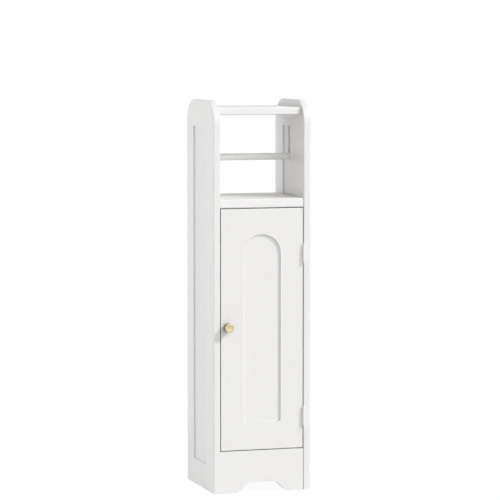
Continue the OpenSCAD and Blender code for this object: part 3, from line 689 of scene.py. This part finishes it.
@dataclass
class Knob:
    """The turned knob on the door: foot, waist and a head with a soft rim."""

    head_length: float = 14.0 * MM
    foot_radius: float = 5.5 * MM
    foot_height: float = 1.4 * MM
    foot_break: float = 0.3 * MM
    waist_radius: float = 3.8 * MM
    rim: float = 1.2 * MM
    dish: float = 0.35 * MM
    segments: int = 96
    waist_steps: int = 12
    rim_steps: int = 8
    face_steps: int = 10

    def profile(self, radius: float, length: float) -> List[Outline]:
        """The knob's half section from the foot to the middle of its face.

        Args:
            radius: the head's radius.
            length: the knob's whole length.

        Returns:
            The (radius, height) points.
        """
        neck = length - self.head_length
        points = [(0.0, 0.0), (self.foot_radius - self.foot_break, 0.0)]
        points += [(self.foot_radius, self.foot_break), (self.foot_radius, self.foot_height)]
        bow = self.foot_radius - self.waist_radius
        for step in range(1, self.waist_steps):
            share = step / self.waist_steps
            height = self.foot_height + (neck - self.foot_height) * share
            points.append((self.foot_radius - bow * math.sin(math.pi * share), height))
        points.append((self.foot_radius, neck))
        face = radius - self.rim
        points += arc((face, neck + self.rim), self.rim, -90, 0, self.rim_steps)
        points += arc((face, length - self.rim), self.rim, 0, 90, self.rim_steps)
        for step in range(1, self.face_steps):
            share = step / self.face_steps
            points.append((face * (1 - share), length - self.dish * math.sin(math.pi / 2 * share) ** 2))
        points.append((0.0, length - self.dish))
        return points

    def build(self) -> None:
        """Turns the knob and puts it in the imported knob's place."""
        low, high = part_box("knob")
        place = Matrix.Translation(Vector(((low.x + high.x) / 2, high.y, (low.z + high.z) / 2)))
        outline = self.profile((high.x - low.x) / 2, high.y - low.y)
        thing = lathe("turned_knob", outline, self.segments, place @ Matrix.Rotation(math.pi / 2, 4, "X"))
        thing.data.materials.append(material_of(PALE_BRASS))
        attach(thing, "door")
        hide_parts("knob")
        LOG.info("built turned_knob")


@dataclass
class WoodScrews:
    """Countersunk cross-head screws with rolled threads, set out by a node tree.

    Two values are in head heights: thread_foot, where the thread starts over the head's face, and
    thread_short, how much shorter it is than the screw. thread_taper is its last radius as a share of
    the core's.
    """

    head_radius: float = 2.5 * MM
    head_height: float = 1.3 * MM
    core_radius: float = 0.95 * MM
    thread_radius: float = 1.3 * MM
    length: float = 10.0 * MM
    turns: float = 7.0
    recess: float = 2.6 * MM
    recess_width: float = 0.6 * MM
    recess_depth: float = 0.55 * MM
    point_radius: float = 0.1 * MM
    thread_foot: float = 1.6
    thread_short: float = 2.2
    thread_taper: float = 0.45
    head_sides: int = 40
    core_sides: int = 24
    turn_steps: int = 20
    crest_sides: int = 4

    def sizes(self) -> Dict[str, float]:
        """The node tree's number inputs, by name."""
        return {
            "Head Radius": self.head_radius, "Head Height": self.head_height, "Core Radius": self.core_radius,
            "Thread Radius": self.thread_radius, "Length": self.length, "Turns": self.turns,
            "Recess": self.recess, "Recess Width": self.recess_width, "Recess Depth": self.recess_depth}

    def tree(self) -> bpy.types.NodeTree:
        """The node tree that puts a screw on each point, turned to the point's own way.

        Returns:
            The geometry node tree.
        """
        tree = bpy.data.node_groups.new("set_out_screws", "GeometryNodeTree")
        board = Board(tree)
        face = tree.interface
        face.new_socket(name="Points", in_out="INPUT", socket_type="NodeSocketGeometry")
        for label in self.sizes():
            face.new_socket(name=label, in_out="INPUT", socket_type=FLOAT)
        face.new_socket(name="Finish", in_out="INPUT", socket_type="NodeSocketMaterial")
        face.new_socket(name="Screws", in_out="OUTPUT", socket_type="NodeSocketGeometry")
        start = board.add("NodeGroupInput")
        end = board.add("NodeGroupOutput")
        size = start.outputs
        head = board.add("GeometryNodeMeshCone", {
            "Vertices": self.head_sides, "Radius Top": size["Core Radius"],
            "Radius Bottom": size["Head Radius"], "Depth": size["Head Height"]})
        core = board.add("GeometryNodeMeshCone", {
            "Vertices": self.core_sides, "Radius Top": self.point_radius,
            "Radius Bottom": size["Core Radius"], "Depth": size["Length"]})
        deep = board.math("MULTIPLY", size["Recess Depth"], 2.0)
        sunk = board.add(
            "GeometryNodeMeshBoolean", {"Mesh 1": head.outputs[0]}, operation="DIFFERENCE", solver="EXACT")
        for wide, tall in (("Recess", "Recess Width"), ("Recess Width", "Recess")):
            box = board.add("ShaderNodeCombineXYZ", {0: size[wide], 1: size[tall], 2: deep}).outputs[0]
            cut = board.add("GeometryNodeMeshCube", {"Size": box})
            board.feed(cut.outputs[0], sunk.inputs["Mesh 2"])
        bare = board.math("MULTIPLY", size["Head Height"], self.thread_short)
        climb = board.math("SUBTRACT", size["Length"], bare)
        narrow = board.math("MULTIPLY", size["Core Radius"], self.thread_taper)
        spiral = board.add("GeometryNodeCurveSpiral", {
            "Resolution": self.turn_steps, "Rotations": size["Turns"], "Start Radius": size["Core Radius"],
            "End Radius": narrow, "Height": climb})
        crest_radius = board.math("SUBTRACT", size["Thread Radius"], size["Core Radius"])
        crest = board.add("GeometryNodeCurvePrimitiveCircle", {
            "Resolution": self.crest_sides, "Radius": crest_radius})
        thread = board.add("GeometryNodeCurveToMesh", {
            "Curve": spiral.outputs[0], "Profile Curve": crest.outputs[0], "Fill Caps": True})
        under_head = board.math("MULTIPLY", size["Head Height"], self.thread_foot)
        lift = board.add("ShaderNodeCombineXYZ", {2: under_head}).outputs[0]
        raised = board.add("GeometryNodeTransform", {"Geometry": thread.outputs[0], "Translation": lift})
        joined = board.add("GeometryNodeJoinGeometry")
        for part in (raised.outputs[0], core.outputs[0], sunk.outputs[0]):
            board.feed(part, joined.inputs[0])
        way = board.add("GeometryNodeInputNamedAttribute", {"Name": "way"}, data_type="FLOAT_VECTOR")
        turned = board.add(
            "FunctionNodeAlignRotationToVector", {"Vector": way.outputs["Attribute"]}, axis="Z")
        spread = board.add("GeometryNodeInstanceOnPoints", {
            "Points": size["Points"], "Instance": joined.outputs[0], "Rotation": turned.outputs[0]})
        real = board.add("GeometryNodeRealizeInstances", {0: spread.outputs[0]})
        done = board.add("GeometryNodeSetMaterial", {"Geometry": real.outputs[0], "Material": size["Finish"]})
        board.feed(done.outputs[0], end.inputs[0])
        return tree

    def set_out(
            self, name: str, places: Sequence[ScrewPlace], body: str, replaced: Sequence[str],
            tree: bpy.types.NodeTree) -> None:
        """Builds the screws of one body.

        Args:
            name: the new piece's name.
            places: (head's middle, the way the screw points) of each screw.
            body: the body that the screws move with.
            replaced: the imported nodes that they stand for.
            tree: the node tree.
        """
        mesh = bpy.data.meshes.new(name + "_points")
        mesh.from_pydata([middle for middle, _ in places], [], [])
        ways = mesh.attributes.new("way", "FLOAT_VECTOR", "POINT")
        ways.data.foreach_set("vector", [part for _, way in places for part in way])
        carrier = bpy.data.objects.new(name + "_points", mesh)
        bpy.context.scene.collection.objects.link(carrier)
        modifier = carrier.modifiers.new("screws", "NODES")
        modifier.node_group = tree
        values = {**self.sizes(), "Finish": material_of(ZINC)}
        for item in tree.interface.items_tree:
            if item.in_out == "INPUT" and item.name in values:
                modifier[item.identifier] = values[item.name]
        seen = carrier.evaluated_get(bpy.context.evaluated_depsgraph_get())
        result = bpy.data.meshes.new_from_object(seen)
        result.name = name
        bpy.data.objects.remove(carrier)
        thing = bpy.data.objects.new(name, result)
        bpy.context.scene.collection.objects.link(thing)
        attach(thing, body)
        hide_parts(*replaced)
        LOG.info("built %s: %d triangles", name, len(result.loop_triangles))


@dataclass
class Fastenings:
    """The screws of the hinge leaves, the catch and the strike plate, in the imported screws' places."""

    screws: WoodScrews = field(default_factory=WoodScrews)
    leaf_step: float = 11.5 * MM

    def in_leaf(self, leaf: str, way: Vector) -> List[ScrewPlace]:
        """Where a hinge leaf's two screws go.

        Args:
            leaf: the leaf's node.
            way: the way that its screws point.

        Returns:
            (head's middle, way) of each screw.
        """
        low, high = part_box(leaf)
        near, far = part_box("case_leaf_screws" if "case" in leaf else "door_leaf_screws")
        face = near.x if way.x > 0 else far.x
        middle = (low.z + high.z) / 2
        depth = (near.y + far.y) / 2
        return [(Vector((face, depth, middle + step)), way) for step in (-self.leaf_step, self.leaf_step)]

    def in_catch(self) -> List[ScrewPlace]:
        """Where the catch's two screws go: upwards into the bay floor.

        Returns:
            (head's middle, way) of each screw.
        """
        low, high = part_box("catch_screws")
        depth = (low.y + high.y) / 2
        inset = self.screws.head_radius
        up = Vector((0.0, 0.0, 1.0))
        return [(Vector((across, depth, low.z)), up) for across in (low.x + inset, high.x - inset)]

    def in_strike(self) -> List[ScrewPlace]:
        """Where the strike plate's screw goes: forwards into the door.

        Returns:
            (head's middle, way) of the one screw.
        """
        low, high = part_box("strike_screw")
        head = Vector(((low.x + high.x) / 2, high.y, (low.z + high.z) / 2))
        return [(head, Vector((0.0, -1.0, 0.0)))]

    def build(self) -> None:
        """Sets out the screws of the carcass and of the door."""
        tree = self.screws.tree()
        right, left = Vector((1.0, 0.0, 0.0)), Vector((-1.0, 0.0, 0.0))
        places = self.in_leaf("upper_case_leaf", right) + self.in_leaf("lower_case_leaf", right)
        places += self.in_catch()
        self.screws.set_out("carcass_screws", places, "carcass", ("case_leaf_screws", "catch_screws"), tree)
        places = self.in_leaf("upper_door_leaf", left) + self.in_leaf("lower_door_leaf", left)
        places += self.in_strike()
        self.screws.set_out("door_screws", places, "door", ("door_leaf_screws", "strike_screw"), tree)


@dataclass
class Carcass:
    """Sides, boards, base rail and back: all kept from the frame, each with its own paint."""

    finishes: Dict[str, Finish] = field(default_factory=lambda: {
        "left_front_stile": UPRIGHT, "left_rear_stile": UPRIGHT, "right_front_stile": UPRIGHT,
        "right_rear_stile": UPRIGHT, "left_top_rail": CROSSWISE, "left_bottom_rail": CROSSWISE,
        "right_top_rail": CROSSWISE, "right_bottom_rail": CROSSWISE,
        "left_panel": PANEL, "right_panel": PANEL, "top_shelf": FRONT_BOARD, "bay_floor": FRONT_BOARD,
        "bottom_board": FRONT_RAIL, "base_rail": FRONT_RAIL, "back_panel": PANEL, "inner_shelf": SHELF_BOARD,
        "shelf_pins": ZINC, "cam_discs": ZINC, "cam_bolts": ZINC, "board_dowels": BEECH,
        "upper_case_leaf": HINGE_WHITE, "lower_case_leaf": HINGE_WHITE, "upper_hinge_pin": HINGE_WHITE,
        "lower_hinge_pin": HINGE_WHITE, "case_leaf_screws": ZINC, "catch_case": PLASTIC, "catch_poles": ZINC,
        "catch_screws": ZINC, "holder_rod": ROD_PAINT})

    def build(self) -> None:
        """Dresses every node of the carcass and the rod."""
        for node, finish in self.finishes.items():
            dress(node, finish)


@dataclass
class Door:
    """Door, hinge leaves and strike, kept from the frame."""

    finishes: Dict[str, Finish] = field(default_factory=lambda: {
        "door_slab": DOOR_FACE, "knob": PALE_BRASS, "knob_screw": ZINC, "upper_door_leaf": HINGE_WHITE,
        "lower_door_leaf": HINGE_WHITE, "door_leaf_screws": ZINC, "strike_plate": ZINC, "strike_screw": ZINC})

    def build(self) -> None:
        """Dresses every node of the door."""
        for node, finish in self.finishes.items():
            dress(node, finish)


@dataclass
class Studio:
    """White floor and backdrop, a soft room, three far lamps and a card of light on the left."""

    room: float = 0.49
    key: float = 0.505
    key_angle: float = 6.0
    key_from: Point = (0.585, -0.518, 0.622)
    front: float = 0.236
    front_angle: float = 55.0
    front_from: Point = (0.20, -0.93, 0.30)
    rear: float = 0.075
    rear_angle: float = 50.0
    rear_from: Point = (-0.45, 0.80, 0.40)
    side: float = 0.256
    side_place: Point = (-3.0, 0.55, 0.39)
    side_wide: float = 1.6
    side_high: float = 0.74
    floor_size: float = 30.0
    floor_grey: float = 0.65
    floor_share: float = 0.86
    floor_glow: float = 1.1

    def floor(self) -> None:
        """Lays a pale floor that shows white to the camera and keeps a soft shadow."""
        mesh = bpy.data.meshes.new("studio_floor")
        half = self.floor_size / 2
        corners = [(-half, -half, 0), (half, -half, 0), (half, half, 0), (-half, half, 0)]
        mesh.from_pydata(corners, [], [(0, 1, 2, 3)])
        thing = bpy.data.objects.new("studio_floor", mesh)
        bpy.context.scene.collection.objects.link(thing)
        material = bpy.data.materials.new("studio_white")
        material.use_nodes = True
        material.node_tree.nodes.clear()
        board = Board(material.node_tree)
        lit = board.add("BsdfDiffuse", {"Color": (self.floor_grey, self.floor_grey, self.floor_grey, 1.0)})
        glow = board.add("Emission", {"Color": WHITE, "Strength": self.floor_glow})
        share = board.math("MULTIPLY", board.seen(), self.floor_share)
        mixed = board.add("MixShader", {0: share, 1: lit.outputs[0], 2: glow.outputs[0]})
        board.add("OutputMaterial", {"Surface": mixed.outputs[0]})
        mesh.materials.append(material)

    def world(self) -> None:
        """Sets a plain white room, white to the camera and softer as light."""
        world = bpy.data.worlds.new("studio_room")
        bpy.context.scene.world = world
        world.use_nodes = True
        world.node_tree.nodes.clear()
        board = Board(world.node_tree)
        room = board.add("Background", {"Color": WHITE, "Strength": self.room})
        white = board.add("Background", {"Color": WHITE, "Strength": 1.0})
        mixed = board.add("MixShader", {0: board.seen(), 1: room.outputs[0], 2: white.outputs[0]})
        board.add("OutputWorld", {"Surface": mixed.outputs[0]})

    def lamp(self, name: str, strength: float, angle: float, towards: Point) -> None:
        """Places one distant lamp.

        Args:
            name: the lamp's name.
            strength: its light on a white face that looks at it.
            angle: its width in degrees; a wide one is soft.
            towards: the way from the object to the lamp.
        """
        sun = bpy.data.lights.new(name, "SUN")
        sun.energy = strength * math.pi
        sun.angle = math.radians(angle)
        thing = bpy.data.objects.new(name, sun)
        thing.rotation_euler = Vector(towards).to_track_quat("Z", "Y").to_euler()
        bpy.context.scene.collection.objects.link(thing)

    def card(self) -> None:
        """Places a low card of light on the left, which doesn't shine over the top of the sides."""
        light = bpy.data.lights.new("side", "AREA")
        light.shape = "RECTANGLE"
        light.size = self.side_wide
        light.size_y = self.side_high
        reach = Vector((self.side_place[0], self.side_place[1], 0.0))
        light.energy = self.side * math.pi ** 2 * reach.length_squared
        thing = bpy.data.objects.new("side", light)
        thing.location = self.side_place
        thing.rotation_euler = reach.to_track_quat("Z", "Y").to_euler()
        thing.visible_camera = False
        bpy.context.scene.collection.objects.link(thing)

    def lamps(self) -> None:
        """Places the key lamp, wide ones in front and behind, and the card."""
        self.lamp("key", self.key, self.key_angle, self.key_from)
        self.lamp("front", self.front, self.front_angle, self.front_from)
        self.lamp("rear", self.rear, self.rear_angle, self.rear_from)
        self.card()

    def build(self) -> None:
        """Builds floor, room and lamps."""
        self.floor()
        self.world()
        self.lamps()
        bpy.context.scene.view_settings.view_transform = "Standard"


@dataclass
class PhotoCamera:
    """The photograph's long lens, from the left of the front and a little above."""

    place: Point = (-1.57514, -5.08134, 0.91994)
    lens: float = 191.14
    turn: float = -17.231
    down: float = 4.753

    def build(self) -> None:
        """Makes the camera and gives it to the scene."""
        camera = bpy.data.cameras.new("photo_camera")
        camera.sensor_width = 36.0
        camera.lens = self.lens
        camera.clip_end = 100.0
        thing = bpy.data.objects.new("photo_camera", camera)
        thing.location = self.place
        thing.rotation_euler = (math.radians(90.0 - self.down), 0.0, math.radians(self.turn))
        bpy.context.scene.collection.objects.link(thing)
        bpy.context.scene.camera = thing


def main() -> None:
    """Builds the cabinet's looks in order, and reports each piece."""
    logging.basicConfig(level=logging.INFO, format="%(name)s: %(message)s")
    PhotoCamera().build()
    Studio().build()
    Carcass().build()
    Door().build()
    Knob().build()
    Fastenings().build()


if __name__ == "__main__":
    main()
